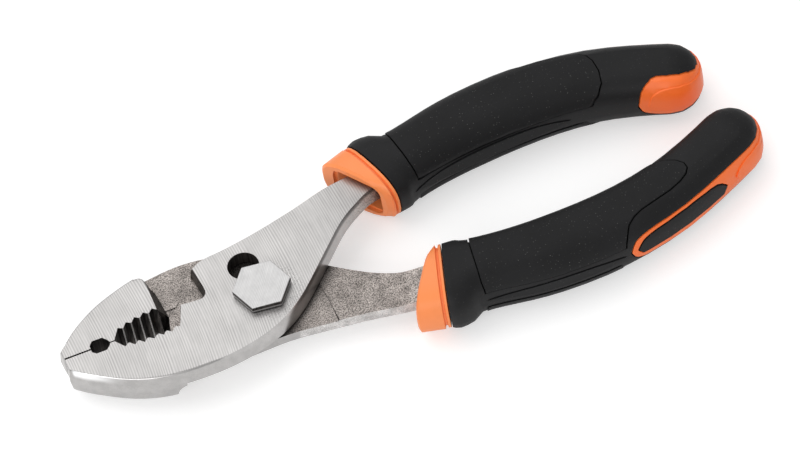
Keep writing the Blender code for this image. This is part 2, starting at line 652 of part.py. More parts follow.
def build_grip(prefix, seat, parts, cutters):
    known = set(parts.objects) | set(cutters.objects)
    core_sleeve(prefix + "_core_sleeve", parts, cutters)
    grip_sleeve(prefix + "_grip_sleeve", parts, cutters)
    for label, edge in pad_edges(prefix + "_pad", 0.0, cutters):
        soft_pad(prefix + label, edge, parts, cutters)
    inset_edge = band(prefix + "_inset_edge", INSET_OUTLINE, 0.0, INSET_FROM, BEYOND, cutters)
    soft_pad(prefix + "_window_inset", inset_edge, parts, cutters)
    for obj in (set(parts.objects) | set(cutters.objects)) - known:
        obj.parent = seat


def seat_empty(name, location, rotation):
    empty = bpy.data.objects.new(name, None)
    empty.location = location
    empty.rotation_euler = rotation
    bpy.context.scene.collection.objects.link(empty)
    return empty


def main():
    for obj in list(bpy.data.objects):
        bpy.data.objects.remove(obj)
    parts = new_collection("slip_joint_pliers")
    cutters = new_collection("cutters")
    upper_seat = seat_empty("upper_grip_seat", (GRIP_SHIFT_X, GRIP_SHIFT_Y, MIDDLE), (0, 0, GRIP_TURN))
    lower_seat = seat_empty("lower_grip_seat", (0, 0, MIDDLE), (math.pi, 0, 0))
    slotted_half(parts, cutters, upper_seat)
    plain_half(parts, cutters, lower_seat)
    pivot_bolt(parts, cutters)
    pivot_nut(parts, cutters)
    build_grip("upper", upper_seat, parts, cutters)
    build_grip("lower", lower_seat, parts, cutters)


main()
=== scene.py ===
"""Looks of the slip joint pliers, laid out as a Blender add-on and run as a script."""
import math
from contextlib import contextmanager

import bmesh
import bpy
from bpy.props import FloatProperty, FloatVectorProperty, PointerProperty
from mathutils import Matrix, Vector


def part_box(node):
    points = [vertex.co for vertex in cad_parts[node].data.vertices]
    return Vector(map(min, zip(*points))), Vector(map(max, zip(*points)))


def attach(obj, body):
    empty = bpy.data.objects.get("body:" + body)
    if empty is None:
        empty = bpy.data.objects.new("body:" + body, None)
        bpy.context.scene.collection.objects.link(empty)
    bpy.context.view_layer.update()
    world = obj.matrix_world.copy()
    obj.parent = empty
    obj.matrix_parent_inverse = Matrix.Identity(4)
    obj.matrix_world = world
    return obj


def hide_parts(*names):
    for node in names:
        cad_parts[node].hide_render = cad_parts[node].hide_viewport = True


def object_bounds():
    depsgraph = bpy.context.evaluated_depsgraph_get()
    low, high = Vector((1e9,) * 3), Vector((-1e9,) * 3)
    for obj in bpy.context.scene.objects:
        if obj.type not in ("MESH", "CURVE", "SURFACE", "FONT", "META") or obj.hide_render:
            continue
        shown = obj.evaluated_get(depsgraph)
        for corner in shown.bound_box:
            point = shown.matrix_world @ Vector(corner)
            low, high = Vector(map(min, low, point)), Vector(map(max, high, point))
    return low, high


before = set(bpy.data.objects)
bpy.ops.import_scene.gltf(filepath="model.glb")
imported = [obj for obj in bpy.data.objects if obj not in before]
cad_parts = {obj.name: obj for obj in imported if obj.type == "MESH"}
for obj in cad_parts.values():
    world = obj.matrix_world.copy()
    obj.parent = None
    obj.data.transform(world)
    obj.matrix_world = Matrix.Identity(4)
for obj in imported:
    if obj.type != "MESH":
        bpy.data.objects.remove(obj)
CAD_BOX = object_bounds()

bl_info = {
    "name": "Slip joint pliers",
    "version": (1, 0, 0),
    "blender": (4, 5, 0),
    "location": "3D View > Sidebar > Pliers",
    "description": "Dresses the packed slip joint pliers with finished pieces, materials and a stage",
    "category": "Object",
}

MM = 0.001

# How far the bolt's head stands off the jaw, and the nut's bore off the shank
CLEARANCE = 0.3 * MM

# Levels of the solids, and the same levels in millimetres
JAW_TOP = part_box("slotted_half")[1][2]
JAW_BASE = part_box("plain_half")[0][2]
MIDDLE = (JAW_TOP + JAW_BASE) / 2
TOP = JAW_TOP / MM
BASE = JAW_BASE / MM
MID = MIDDLE / MM

# Direction from the seat at the pivot to the far seat, which is given in millimetres
SLIP_AXIS = Vector((-0.22325, 0.97476, 0.0))
FAR_SEAT = (-1.85, 8.1)
SEAT_REACH = 4.3

# Places on the forgings in millimetres: along the tool, then the jaws' parting line and its openings
TIP_WALL = -47.9
NOSE_BACK = -42.5
OVAL_BACK = -36.2
FIRST_CREST = -35.6
SHOULDER_BACK = -14.0
CREASE_START = 12.4
CREASE_END = 14.2
PARTING = 1.0
NOSE_GAP = 0.7
OVAL_GAP = 2.4

# Regions of the forgings seen from above, in millimetres: from and to along the tool, then across it
TEETH = (-36.2, -21.0, -3.6, 6.4)
LEANING_FEET = (-35.8, -21.5, 1.3, 6.4)
LAST_FLANK = (-25.2, -21.9, 3.4, 5.9)
LAST_FOOT = (-24.13, -24.03, 4.7, 5.0)
LAST_CREST = (-24.25, -24.15, 4.9, 5.1)
WALL_FOOT = (-26.5, -24.05, 2.0, math.inf)
PLAIN_LAP_WALL = (-26.6, -20.0, 3.0, math.inf)
SLOTTED_LAP_WALL = (-24.6, -10.0, 1.5, 12.6)
LAP_PAD = (-23.5, -17.0, 6.0, 13.0)
JAW_OUTER_WALL = (-math.inf, 5.0, -math.inf, -1.0)

# Arcs that the coarse teeth's crests follow: where each is flat, how far across it lies there, and its bend
SLOTTED_ARC = (-26.5, -1.5, 0.015)
PLAIN_ARC = (-23.5, 4.9, -0.0165)

# Along the tool from its tip, how far across the outer shoulders start, and how fast they spread
JAW_START = -48.0
SLOTTED_SHOULDER = (-2.2, -0.25)
PLAIN_SHOULDER = (3.6, 0.3)

# The sloped wall behind the plain jaw: where it ends and fades across the tool, and where and how it spreads
SLOPE_END = 15.4
SLOPE_FADE = 2.8
SPREAD_START = 12.6
SPREAD = 0.06

# Where the split through the last flank lies, and the share of the lean at its foot
LAST_SPLIT = -24.1
LAST_LEAN = 0.9

# The upper grip's seat in millimetres and its turn. The lower grip's axes are the tool's own, turned over
UPPER_SEAT = Vector((-3.5, 3.0, 0))
UPPER_TURN = math.radians(5.5)

# Places in the grip's own axes, in millimetres: the guard's mouth, the step round it, the second lip, and
# where the rounded end of the handle starts
MOUTH = Vector((34.9, 12.95, 0))
MOUTH_LEAN = math.radians(31.0)
STEP_ACROSS = 13.4
STEP_HIGH = 10.3
LIP_ALONG = 37.7
LIP_SIDEWAYS = 14.0
LIP_LEAN = math.radians(15.0)
LIP_ACROSS = 9.1
LIP_HIGH = 6.6
LIP_POWER = 2.7
HANDLE_END = 100.0

# How far below the middle plane the orange rim of the lower inset starts
RIM_DEPTH = 1.7 * MM

# Small sizes of the bolt
CORNER_BREAK = 0.16 * MM
FOOT_BREAK = 0.2 * MM
FOOT_HEIGHT = 0.6 * MM
JOURNAL_BREAK = 0.4 * MM

# The photograph's frame: scale in pixels per metre and the pivot's pixel
IMAGE_WIDTH = 800
IMAGE_HEIGHT = 459
PIXELS_PER_METRE = 4354.0
PIVOT_PIXEL = (262.4, 289.2)

# The camera's angles and film
CAMERA_TURN = math.radians(10.5)
CAMERA_HEIGHT = math.radians(54.0)
CAMERA_ROLL = math.radians(11.9)
FILM_WIDTH = 36.0

# Both handles and the bodies that they move with
SIDES = (("upper", "slotted"), ("lower", "plain"))

# Plain white
WHITE = (1.0, 1.0, 1.0, 1.0)


def length_setting(name, description, default, least, most):
    """A length among the settings. Its values are given in millimetres."""
    return FloatProperty(name=name, description=description, default=default * MM, min=least * MM,
                         max=most * MM, subtype="DISTANCE", unit="LENGTH")


def colour_setting(name, description, red, green, blue):
    """A colour among the settings."""
    return FloatVectorProperty(name=name, description=description, default=(red, green, blue, 1.0),
                               min=0.0, max=1.0, size=4, subtype="COLOR")


class SteelSettings(bpy.types.PropertyGroup):
    """Colours and sizes of the forged and ground steel."""
    ground_colour: colour_setting(
        "Ground steel", "Colour of the ground faces", 0.50, 0.488, 0.48)
    forged_colour: colour_setting(
        "Forged steel", "Colour of the rough forged surfaces", 0.33, 0.30, 0.28)
    line_pitch: length_setting(
        "Grinding line pitch", "Distance between the grinding lines", 0.6, 0.1, 3)
    edge_break: length_setting(
        "Edge break", "Width of the broken edges of the forgings", 0.1, 0.02, 0.5)
    crest_width: length_setting(
        "Tooth crest", "Width of the flat crest of a coarse tooth", 0.19, 0.0, 0.5)
    tooth_lean: length_setting(
        "Tooth lean", "How far the feet of the plain half's coarse teeth reach in", 1.5, 0.0, 2.0)
    crease_width: length_setting(
        "Crease", "Width of the crease where the lap face ends on the lower neck", 0.3, 0.0, 0.34)
    wall_slope: length_setting(
        "Wall slope", "How far the foot of the wall behind the jaw reaches out", 1.5, 0.0, 2.5)
    step_hollow: length_setting(
        "Step hollow", "Radius of the hollow where the jaw ends under the lap", 3.3, 0.5, 6.0)
    shoulder_round: length_setting(
        "Jaw shoulder", "Rounding along the outer shoulders of the jaws", 0.4, 0.05, 1)


class BoltSettings(bpy.types.PropertyGroup):
    """Sizes of the pivot bolt and its nut."""
    across_flats: length_setting(
        "Across flats", "Width of the head and the nut across their flats", 12, 5, 20)
    head_turn: FloatProperty(
        name="Head turn", description="Turn of the hexagon round the pivot", subtype="ANGLE", unit="ROTATION",
        default=math.radians(22.5))
    head_chamfer: length_setting(
        "Head chamfer", "Broken upper edge of the head", 0.2, 0.05, 0.5)
    shank_radius: length_setting(
        "Shank radius", "Radius of the shank in its seat", 3.45, 1, 6)
    shank_flats: length_setting(
        "Shank flats", "Width of the shank across its flats", 5.6, 1, 8)


class GripSettings(bpy.types.PropertyGroup):
    """Colours and sizes of the two-material grips."""
    core_colour: colour_setting(
        "Hard core", "Colour of the hard inner sleeve", 1.0, 0.29, 0.085)
    end_colour: colour_setting(
        "Core ends", "Colour of the core at the handle ends", 1.0, 0.178, 0.026)
    soft_colour: colour_setting(
        "Soft sleeve", "Colour of the soft sleeve and its pads", 0.0063, 0.0063, 0.0068)
    lip_shift: length_setting(
        "Lip shift", "How far the groove before the second lip lies further back", 0.45, 0.0, 0.9)
    step_depth: length_setting(
        "Mouth step", "Depth of the step round the guard's mouth", 0.9, 0.1, 2.0)
    step_round: length_setting(
        "Step corners", "Rounding of the corners of the step round the mouth", 2.6, 0.5, 4.0)
    pad_round: length_setting(
        "Pad edges", "Rounding of the edges of the pads let into the sleeves", 0.5, 0.0, 0.8)
    edge_round: length_setting(
        "Edge rounding", "Rounding of the moulded edges of cores and sleeves", 0.3, 0.05, 1)


class StageSettings(bpy.types.PropertyGroup):
    """Light, floor and camera."""
    floor_colour: colour_setting("Floor", "Colour of the floor", 0.74, 0.74, 0.74)
    sky_strength: FloatProperty(
        name="Sky", description="Strength of the even light from all round", default=0.62, min=0.0, max=5.0)
    floor_glow: FloatProperty(
        name="Floor glow", description="What the camera and reflections see beside the floor's own light",
        default=0.44, min=0.0, max=1.0)
    key_power: FloatProperty(
        name="Key light", description="Power of the large soft light", subtype="POWER", unit="POWER",
        default=9.8, min=0.0, max=100.0)
    camera_distance: FloatProperty(
        name="Camera distance", description="Distance from the tool to the camera", subtype="DISTANCE",
        unit="LENGTH", default=2.0, min=0.5, max=10.0)


# Work on meshes

def in_mm(point):
    """The three coordinates in millimetres."""
    return [value / MM for value in point]


def inside(x, y, region):
    """True between the region's ends along the tool and across it."""
    start, end, low, high = region
    return start < x < end and low < y < high


def deselect_all():
    """Nothing selected and nothing active."""
    bpy.ops.object.select_all(action="DESELECT")
    bpy.context.view_layer.objects.active = None


def activate(piece):
    """Only this piece selected and active."""
    deselect_all()
    piece.select_set(True)
    bpy.context.view_layer.objects.active = piece


@contextmanager
def editing(piece):
    """The piece alone in edit mode, and back in object mode afterwards."""
    activate(piece)
    bpy.ops.object.mode_set(mode="EDIT")
    yield
    bpy.ops.object.mode_set(mode="OBJECT")


def copy_solid(node, name):
    """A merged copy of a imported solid, with its flat faces made whole."""
    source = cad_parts[node]
    piece = bpy.data.objects.new(name, source.data.copy())
    bpy.context.scene.collection.objects.link(piece)
    piece.data.name = name
    piece.data.materials.clear()
    activate(piece)
    bpy.ops.mesh.customdata_custom_splitnormals_clear()
    with editing(piece):
        bpy.ops.mesh.select_all(action="SELECT")
        bpy.ops.mesh.remove_doubles(threshold=0.02 * MM)
        bpy.ops.mesh.dissolve_limited(angle_limit=math.radians(1.0))
    return piece


def placed_primitive():
    """The primitive that was just added, with its place and turn in its mesh."""
    bpy.ops.object.transform_apply(location=True, rotation=True, scale=True)
    return bpy.context.object


def upright_bar(radius, low, high, sides=64, turn=0.0):
    """A bar with flat sides on the pivot axis, which is round where they are many."""
    deselect_all()
    bpy.ops.mesh.primitive_cylinder_add(vertices=sides, radius=radius, depth=high - low,
                                        location=(0, 0, (low + high) / 2), rotation=(0, 0, turn))
    return placed_primitive()


def combine(piece, tool, operation):
    """Joins the tool to the piece or cuts it away, and removes the tool."""
    activate(piece)
    cut = piece.modifiers.new("cut", "BOOLEAN")
    cut.solver = "EXACT"
    cut.operation = operation
    cut.object = tool
    bpy.ops.object.modifier_apply(modifier="cut")
    bpy.data.objects.remove(tool)


def move_points(piece, moved):
    """Puts each point of the piece where moved says, given a copy of its place."""
    with editing(piece):
        mesh = bmesh.from_edit_mesh(piece.data)
        for vertex in mesh.verts:
            vertex.co = moved(vertex.co.copy())
        bmesh.update_edit_mesh(piece.data)


def select_parts(piece, kind, wanted):
    """In edit mode, selects the faces or the edges that pass the test."""
    bpy.ops.mesh.select_mode(type=kind)
    bpy.ops.mesh.select_all(action="DESELECT")
    mesh = bmesh.from_edit_mesh(piece.data)
    for item in mesh.faces if kind == "FACE" else mesh.edges:
        item.select = wanted(item)
    bmesh.update_edit_mesh(piece.data)


def select_edges(piece, wanted):
    """In edit mode, selects the edges whose two end points pass the test together."""
    select_parts(piece, "EDGE", lambda edge: wanted(edge.verts[0].co, edge.verts[1].co))


def bevel_selected(width, segments, clamped=False):
    """In edit mode, rounds the selected edges."""
    bpy.ops.mesh.bevel(offset=width, segments=segments, profile=0.5, affect="EDGES", clamp_overlap=clamped)


def bevel_edges(piece, wanted, width, segments):
    """Rounds the edges whose two end points pass the test together."""
    with editing(piece):
        select_edges(piece, wanted)
        bevel_selected(width, segments)


def bevel_level(piece, level, width, segments):
    """Rounds the edges that lie at one height."""
    bevel_edges(piece, lambda first, second: max(abs(first.z - level), abs(second.z - level)) < 0.001 * MM,
                width, segments)


def break_edges(piece, width, sharpness, segments, wider=()):
    """Bevels the chosen edges to their own widths and all other sharp edges to one, and shades the piece."""
    with editing(piece):
        for wanted, own_width, own_segments in wider:
            select_edges(piece, lambda first, second, wanted=wanted: wanted(first) and wanted(second))
            bevel_selected(own_width, own_segments)
        bpy.ops.mesh.select_mode(type="EDGE")
        bpy.ops.mesh.select_all(action="DESELECT")
        bpy.ops.mesh.edges_select_sharp(sharpness=math.radians(sharpness))
        bevel_selected(width, segments, clamped=True)
    even_shading(piece)


def even_shading(piece, angle=35):
    """Smooth shading in which large flat faces stay flat."""
    activate(piece)
    bpy.ops.object.shade_smooth_by_angle(angle=math.radians(angle))
    weighting = piece.modifiers.new("even", "WEIGHTED_NORMAL")
    weighting.keep_sharp = True
    weighting.weight = 100
    bpy.ops.object.modifier_apply(modifier="even")


def finish_piece(piece, body, slot, *nodes):
    """Puts the piece on its body, in place of the solids that it stands for."""
    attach(piece, body)
    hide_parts(*nodes)


def paint_faces(piece, names, choose):
    """Gives each face the finish whose name choose returns for its centre and normal."""
    for name in names:
        piece.data.materials.append(bpy.data.materials[name])
    for face in piece.data.polygons:
        face.material_index = names.index(choose(face.center, face.normal))


# Shader nodes

def new_group(name, inputs, outputs):
    """An empty shader node group, what it is given and what it gives. An input with no value is a vector."""
    group = bpy.data.node_groups.new(name, "ShaderNodeTree")
    for title, default in inputs.items():
        kind = "NodeSocketVector" if default is None else "NodeSocketFloat"
        socket = group.interface.new_socket(title, in_out="INPUT", socket_type=kind)
        if default is not None:
            socket.default_value = default
    for title in outputs:
        group.interface.new_socket(title, in_out="OUTPUT", socket_type="NodeSocketFloat")
    return group, group.nodes.new("NodeGroupInput").outputs, group.nodes.new("NodeGroupOutput").inputs


def add(tree, kind, inputs, **settings):
    """Adds a node, sets its properties, and gives each numbered or named input its value or its link."""
    node = tree.nodes.new("ShaderNode" + kind)
    for key, value in settings.items():
        setattr(node, key, value)
    for key, value in inputs.items():
        if isinstance(value, bpy.types.NodeSocket):
            tree.links.new(value, node.inputs[key])
        else:
            node.inputs[key].default_value = value
    return node.outputs


def calculate(tree, operation, *values):
    """The result of a sum on sockets or numbers."""
    return add(tree, "Math", dict(enumerate(values)), operation=operation)[0]


def vector(tree, operation, *values):
    """The outputs of a sum on vectors."""
    return add(tree, "VectorMath", dict(enumerate(values)), operation=operation)


def ranged(tree, value, start, end, low=0.0, high=1.0, kind="LINEAR"):
    """A value carried from one range over to another."""
    inputs = {"Value": value, "From Min": start, "From Max": end, "To Min": low, "To Max": high}
    return add(tree, "MapRange", inputs, interpolation_type=kind)["Result"]


def noise(tree, place, scale, detail, roughness, dimensions="3D"):
    """A cloudy value, finer with more detail and rougher with more roughness."""
    inputs = {"Vector": place, "Scale": scale, "Detail": detail, "Roughness": roughness}
    return add(tree, "TexNoise", inputs, noise_dimensions=dimensions)["Fac"]


def coordinate(tree, place, number):
    """The place along the tool (0), across it (1) or upwards (2)."""
    return add(tree, "SeparateXYZ", {0: place})[number]


def between(tree, mask, low, high):
    """A value that goes from low where the mask is empty to high where it is full."""
    return ranged(tree, mask, 0.0, 1.0, low, high)


def soft_step(tree, value, start, end):
    """A mask that grows softly from nothing at one value to full at the other."""
    return ranged(tree, value, start, end, kind="SMOOTHSTEP")


def mixed(tree, mask, first, second, blend="MIX"):
    """Two colours mixed by a mask, each a socket or plain values."""
    return add(tree, "Mix", {0: mask, 6: first, 7: second}, data_type="RGBA", blend_type=blend)[2]


def darkened(tree, mask, colour, share):
    """The colour, times share where the mask is full."""
    return mixed(tree, mask, colour, (share, share, share, 1.0), "MULTIPLY")


def scaled(colour, factor):
    """The colour made darker or lighter."""
    return tuple(min(value * factor, 1.0) for value in colour[:3]) + (1.0,)


def arrange(tree):
    """Sets the nodes out in columns, each one left of the nodes that it feeds."""
    columns = {node.name: 0 for node in tree.nodes}
    for _ in tree.nodes:
        for link in tree.links:
            further = columns[link.to_node.name] + 1
            columns[link.from_node.name] = max(columns[link.from_node.name], further)
    filled = {}
    for node in tree.nodes:
        column = columns[node.name]
        node.location = (-240 * column, -300 * filled.get(column, 0))
        filled[column] = filled.get(column, 0) + 1


def grinding_group():
    """Curved grinding lines round a far centre, as a height and a mask."""
    group, given, wanted = new_group(
        "Grinding lines", {"Position": None, "Centre": None, "Pitch": 0.6 * MM}, ["Height", "Streaks"])
    away = vector(group, "SUBTRACT", given["Position"], given["Centre"])[0]
    flat = vector(group, "MULTIPLY", away, (1, 1, 0))[0]
    radius = vector(group, "LENGTH", flat)["Value"]
    turns = calculate(group, "DIVIDE", radius, given["Pitch"])
    along = calculate(group, "MULTIPLY", coordinate(group, flat, 1), 90.0)
    place = add(group, "CombineXYZ", {0: turns, 1: along})[0]
    lines = noise(group, place, 1.3, 2.0, 0.6, "2D")
    drift = noise(group, place, 0.12, 1.0, 0.5, "2D")
    phase = calculate(group, "ADD", turns, calculate(group, "MULTIPLY", drift, 1.5))
    wave = calculate(group, "SINE", calculate(group, "MULTIPLY", phase, 2 * math.pi))
    wave_share = calculate(group, "MULTIPLY", wave, calculate(group, "MULTIPLY", drift, 0.55))
    height = calculate(group, "ADD", calculate(group, "MULTIPLY", lines, 0.6), wave_share)
    group.links.new(height, wanted["Height"])
    group.links.new(ranged(group, height, -0.05, 0.65), wanted["Streaks"])
    arrange(group)


def specks_group():
    """Small scattered spots of a given size and spacing, as a mask."""
    group, given, wanted = new_group(
        "Scattered specks", {"Position": None, "Spacing": 1.6 * MM, "Size": 0.15 * MM}, ["Specks"])
    scale = calculate(group, "DIVIDE", 1.0, given["Spacing"])
    cells = add(group, "TexVoronoi", {"Vector": given["Position"], "Scale": scale})
    away = calculate(group, "MULTIPLY", cells["Distance"], given["Spacing"])
    dots = ranged(group, calculate(group, "DIVIDE", away, given["Size"]), 1.0, 0.5)
    strength = add(group, "SeparateColor", {0: cells["Color"]})[0]
    group.links.new(calculate(group, "MULTIPLY", dots, strength), wanted["Specks"])
    arrange(group)


def grain_group():
    """Fine grain at a given size, as a height and as dark pits, with a slower mottle."""
    group, given, wanted = new_group(
        "Fine grain", {"Position": None, "Grain size": 0.3 * MM, "Mottle size": 4 * MM},
        ["Height", "Mottle", "Pits"])
    fine_scale = calculate(group, "DIVIDE", 1.0, given["Grain size"])
    slow_scale = calculate(group, "DIVIDE", 1.0, given["Mottle size"])
    fine = noise(group, given["Position"], fine_scale, 4.0, 0.65)
    slow = noise(group, given["Position"], slow_scale, 5.0, 0.6)
    group.links.new(fine, wanted["Height"])
    group.links.new(ranged(group, slow, 0.35, 0.65), wanted["Mottle"])
    group.links.new(ranged(group, fine, 0.47, 0.36), wanted["Pits"])
    arrange(group)


def grain_node(tree, place, grain_size, mottle_size):
    """The fine grain group with its own sizes in millimetres."""
    inputs = {"Position": place, "Grain size": grain_size * MM, "Mottle size": mottle_size * MM}
    return add(tree, "Group", inputs, node_tree=bpy.data.node_groups["Fine grain"])


def lines_node(tree, place, centre, pitch):
    """The grinding lines group round its own centre, which is given in millimetres."""
    inputs = {"Position": place, "Centre": [value * MM for value in centre], "Pitch": pitch}
    return add(tree, "Group", inputs, node_tree=bpy.data.node_groups["Grinding lines"])


def new_material(name, **shader_values):
    """The nodes of a new material, with its Principled shader's plain values set."""
    material = bpy.data.materials.new(name)
    material.use_nodes = True
    for title, value in shader_values.items():
        material.node_tree.nodes["Principled BSDF"].inputs[title.replace("_", " ")].default_value = value
    return material.node_tree


def new_finish(name, **shader_values):
    """The nodes of a new finish, and the object coordinates that it reads."""
    tree = new_material(name, **shader_values)
    return tree, add(tree, "TexCoord", {})["Object"]


def feed_shader(tree, colour, roughness, height, depth, strength=0.5):
    """Gives the shader its colour and roughness, and relief from a height in millimetres."""
    shader = tree.nodes["Principled BSDF"]
    relief = add(tree, "Bump", {"Height": height, "Distance": depth * MM, "Strength": strength})
    for title, value in (("Base Color", colour), ("Roughness", roughness), ("Normal", relief["Normal"])):
        tree.links.new(value, shader.inputs[title])
    arrange(tree)


# Masks on the tool, with all places in millimetres

def lengthwise_mask(tree, place, start, end):
    """A mask that grows along the tool from one distance to the other."""
    return soft_step(tree, coordinate(tree, place, 0), start * MM, end * MM)


def upward_mask(tree, place, low, high):
    """A mask that grows upwards between two depths below the jaws' upper face."""
    return soft_step(tree, coordinate(tree, place, 2), JAW_TOP - low * MM, JAW_TOP - high * MM)


def round_mask(tree, place, centre, inner, outer):
    """A mask that is full inside one radius round an upright line and gone past the other."""
    away = vector(tree, "SUBTRACT", place, (centre[0] * MM, centre[1] * MM, 0))[0]
    radius = vector(tree, "LENGTH", vector(tree, "MULTIPLY", away, (1, 1, 0))[0])["Value"]
    return soft_step(tree, radius, outer * MM, inner * MM)


def seam_shade_mask(tree, place, outer, inner):
    """A mask for painted contact shade, partly oil dirt, along the line where the edge of the upper neck lies
    on the lower one.
    """
    away = vector(tree, "SUBTRACT", place, (6.6 * MM, -5.7 * MM, 0))[0]
    across = vector(tree, "DOT_PRODUCT", away, (0.656, -0.755, 0))["Value"]
    return soft_step(tree, calculate(tree, "ABSOLUTE", across), outer * MM, inner * MM)


def painted_under_edge_shade(tree, place):
    """A mask for painted shade: the dark line under the upper edge of the neck's inner wall."""
    high = upward_mask(tree, place, 1.3, 0.5)
    return calculate(tree, "MULTIPLY", high, lengthwise_mask(tree, place, 2, 12))


def painted_highlight_band(tree, place):
    """A mask for a painted highlight on the upper part of the jaw walls, which fades behind the nose."""
    high = upward_mask(tree, place, 2.4, 0.8)
    near = lengthwise_mask(tree, place, -37, -46)
    behind_tip = ranged(tree, coordinate(tree, place, 0), TIP_WALL * MM, (TIP_WALL + 0.5) * MM)
    return calculate(tree, "MULTIPLY", calculate(tree, "MULTIPLY", high, near), behind_tip)


# Finishes

def mottled(tree, grain, colour, low, high):
    """One colour at two levels, in the clouds of the grain's mottle."""
    return mixed(tree, grain["Mottle"], scaled(colour, low), scaled(colour, high))


def streak_mask(tree, lines, grain, share):
    """Grinding lines with a share of mottle between them."""
    return calculate(tree, "ADD", calculate(tree, "MULTIPLY", lines["Streaks"], share),
                     calculate(tree, "MULTIPLY", grain["Mottle"], 1 - share))


def ground_steel(steel):
    """Satin ground faces with curved lines across the tool, dull round the bolt and towards the grip."""
    tree, place = new_finish("ground_face", Metallic=1.0)
    lines = lines_node(tree, place, (-170, -2, 0), steel.line_pitch)
    grain = grain_node(tree, place, 0.25, 9)
    mask = streak_mask(tree, lines, grain, 0.8)
    colour = mixed(tree, mask, scaled(steel.ground_colour, 0.76), scaled(steel.ground_colour, 1.14))
    dulled = darkened(tree, lengthwise_mask(tree, place, 12, 46), colour, share=0.54)
    worn = round_mask(tree, place, (1.5, -1.5), inner=6.2, outer=9.5)
    pitted = calculate(tree, "MULTIPLY", worn, grain["Pits"])
    shaded = darkened(tree, pitted, dulled, share=0.35)
    feed_shader(tree, shaded, between(tree, mask, 0.46, 0.36), lines["Height"], depth=0.012)


def satin_wall(steel):
    """Bright belt-finished side walls of the jaws, which turn to forged skin towards the handles, with a
    painted highlight along the upper edge near the tip and painted shade under the upper edge of the neck's
    inner wall.
    """
    tree, place = new_finish("satin_wall", Metallic=1.0)
    sand, grain = sand_grain(tree, place, steel.forged_colour, 1.3, (0.5, 1.4))
    colour = mottled(tree, grain, steel.ground_colour, 0.80, 0.94)
    pitted = darkened(tree, grain["Pits"], colour, share=0.9)
    # Painted highlight: the upper part of the jaw walls near the tip is made lighter
    bright = mixed(tree, painted_highlight_band(tree, place), pitted, (0.95, 0.95, 0.95, 1.0))
    along = lengthwise_mask(tree, place, 22, 34)
    walls = mixed(tree, along, bright, sand)
    # Painted shade: a dark line under the upper edge of the neck's inner wall
    shaded = darkened(tree, painted_under_edge_shade(tree, place), walls, share=0.4)
    feed_shader(tree, shaded, between(tree, along, 0.28, 0.55), grain["Height"], depth=0.025)


def sand_grain(tree, place, colour, level, spread):
    """The colour of a sand-like forged skin, and its grain."""
    grain = grain_node(tree, place, 0.3, 3)
    base = mottled(tree, grain, colour, level * 0.78, level * 1.12)
    contrast = ranged(tree, grain["Height"], 0.38, 0.60, *spread)
    return mixed(tree, 1.0, base, contrast, "MULTIPLY"), grain


def forged_steel(name, colour, level, spread):
    """Rough, sand-like forged skin, darker round the joint from an oil stain with painted shade, and with
    painted shade along the seam under the upper neck.
    """
    tree, place = new_finish(name, Metallic=1.0)
    grained, grain = sand_grain(tree, place, colour, level, spread)
    # Darker round the joint: an oil stain together with painted shade
    oil_and_shade = darkened(tree, round_mask(tree, place, (-0.6, 4), inner=10.2, outer=12.4), grained, share=0.22)
    # Painted shade, partly oil dirt, along the seam where the upper neck's edge lies on the lower one
    shaded = darkened(tree, seam_shade_mask(tree, place, outer=3.2, inner=0.2), oil_and_shade, share=0.25)
    roughness = between(tree, grain["Mottle"], 0.62, 0.5)
    feed_shader(tree, shaded, roughness, grain["Height"], depth=0.1, strength=0.8)


def dark_steel(steel, name, low, high, rough):
    """Milled flanks, or bore walls that are blackened and carry painted shade of their depth, with marks that
    run through the thickness.
    """
    tree, place = new_finish(name, Metallic=1.0)
    upright = vector(tree, "MULTIPLY", place, (1, 1, 0.05))[0]
    grain = grain_node(tree, upright, 0.3, 0.6)
    colour = mottled(tree, grain, steel.forged_colour, low, high)
    shaded = darkened(tree, lengthwise_mask(tree, place, -38, -40), colour, share=0.35)
    feed_shader(tree, shaded, between(tree, grain["Mottle"], rough + 0.1, rough), grain["Height"], depth=0.03)


def bolt_steel():
    """Faintly ground bolt head with a slightly cold tone."""
    tree, place = new_finish("satin_bolt", Metallic=1.0)
    lines = lines_node(tree, place, (-90, 60, 0), 0.35 * MM)
    mask = streak_mask(tree, lines, grain_node(tree, place, 0.3, 2), 0.75)
    colour = mixed(tree, mask, (0.40, 0.395, 0.395, 1.0), (0.55, 0.545, 0.54, 1.0))
    feed_shader(tree, colour, between(tree, mask, 0.40, 0.30), lines["Height"], depth=0.006)


def hard_orange(grip):
    """Satin moulded orange plastic, deeper in colour at the handle ends."""
    tree, place = new_finish("moulded_orange", IOR=1.46)
    grain = grain_node(tree, place, 0.12, 7)
    guards = mottled(tree, grain, grip.core_colour, 0.95, 1.0)
    ends = mottled(tree, grain, grip.end_colour, 0.95, 1.0)
    colour = mixed(tree, lengthwise_mask(tree, place, 60, 85), guards, ends)
    feed_shader(tree, colour, between(tree, grain["Height"], 0.34, 0.5), grain["Height"], depth=0.01)


def soft_black(grip, name, speckle, rough):
    """Soft black moulding, with a faint pale speckle in its skin."""
    tree, place = new_finish(name, IOR=1.42, Specular_IOR_Level=0.34)
    grain = grain_node(tree, place, 0.22, 12)
    base = mottled(tree, grain, grip.soft_colour, 0.8, 1.2)
    shades = mixed(tree, grain["Height"], (0.1, 0.1, 0.1, 1.0), (1.9, 1.9, 1.95, 1.0))
    grained = mixed(tree, 1.0, base, shades, "MULTIPLY")
    specks = add(tree, "Group", {"Position": place, "Spacing": 0.72 * MM, "Size": 0.12 * MM},
                 node_tree=bpy.data.node_groups["Scattered specks"])
    share = calculate(tree, "MULTIPLY", specks["Specks"], speckle)
    speckled = mixed(tree, share, grained, (0.10, 0.10, 0.095, 1.0))
    roughness = between(tree, grain["Height"], rough - 0.06, rough + 0.08)
    feed_shader(tree, speckled, roughness, grain["Height"], depth=0.04, strength=0.6)


